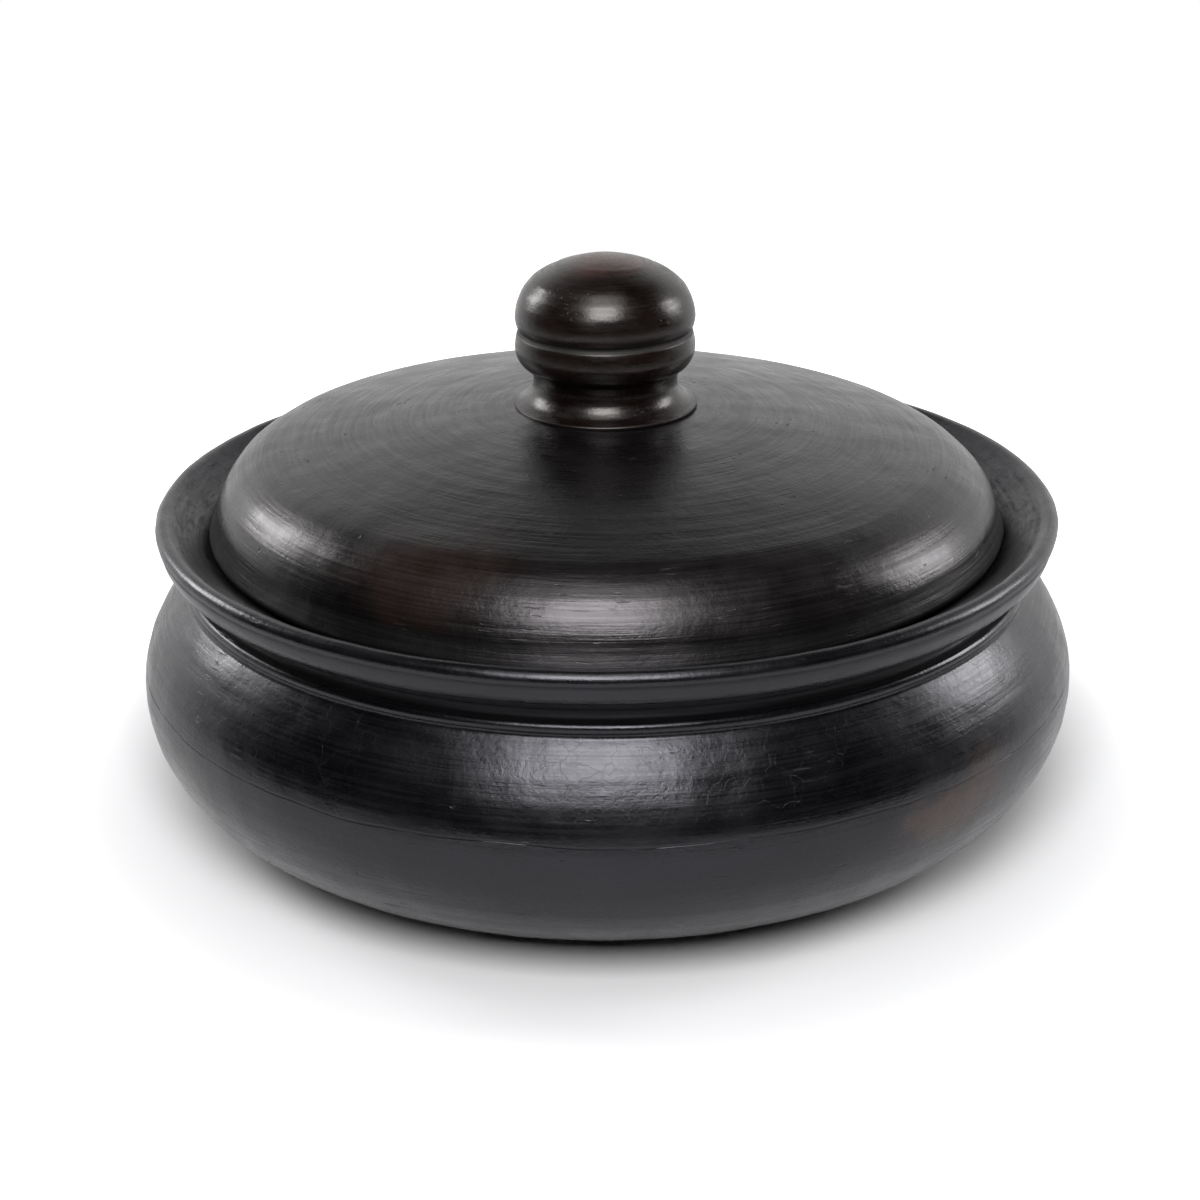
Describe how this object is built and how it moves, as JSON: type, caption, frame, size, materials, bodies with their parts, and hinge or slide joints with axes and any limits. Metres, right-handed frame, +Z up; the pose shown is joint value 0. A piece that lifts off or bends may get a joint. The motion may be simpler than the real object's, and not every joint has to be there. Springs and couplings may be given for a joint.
{
  "type": "lidded cooking pot",
  "caption": "Squat round cooking pot of burnished black clay with a ribbed neck, collared round-lipped rim and a domed lift-off lid with a turned knob.",
  "frame": {"origin": "middle of the flat foot, on the surface that the pot stands on", "axes": "+Z up along the turning axis, from the foot to the knob; X and Y are any two level directions, as the pot is round"},
  "size_m": [0.2676, 0.2676, 0.1567],
  "materials": {
    "black_clay_pot": "burnished black earthenware with a cool graphite sheen",
    "black_clay_lid": "burnished black earthenware with fine turning lines",
    "black_clay_knob": "burnished brown-black earthenware"
  },
  "bodies": {
    "pot": {"pot": "black_clay_pot"},
    "lid": {"lid": "black_clay_lid", "knob": "black_clay_knob"}
  },
  "joints": [
    {"name": "lid_lift", "type": "slide", "parent": "pot", "child": "lid", "axis": [0, 0, 1], "range_m": [0, 0.12]}
  ]
}
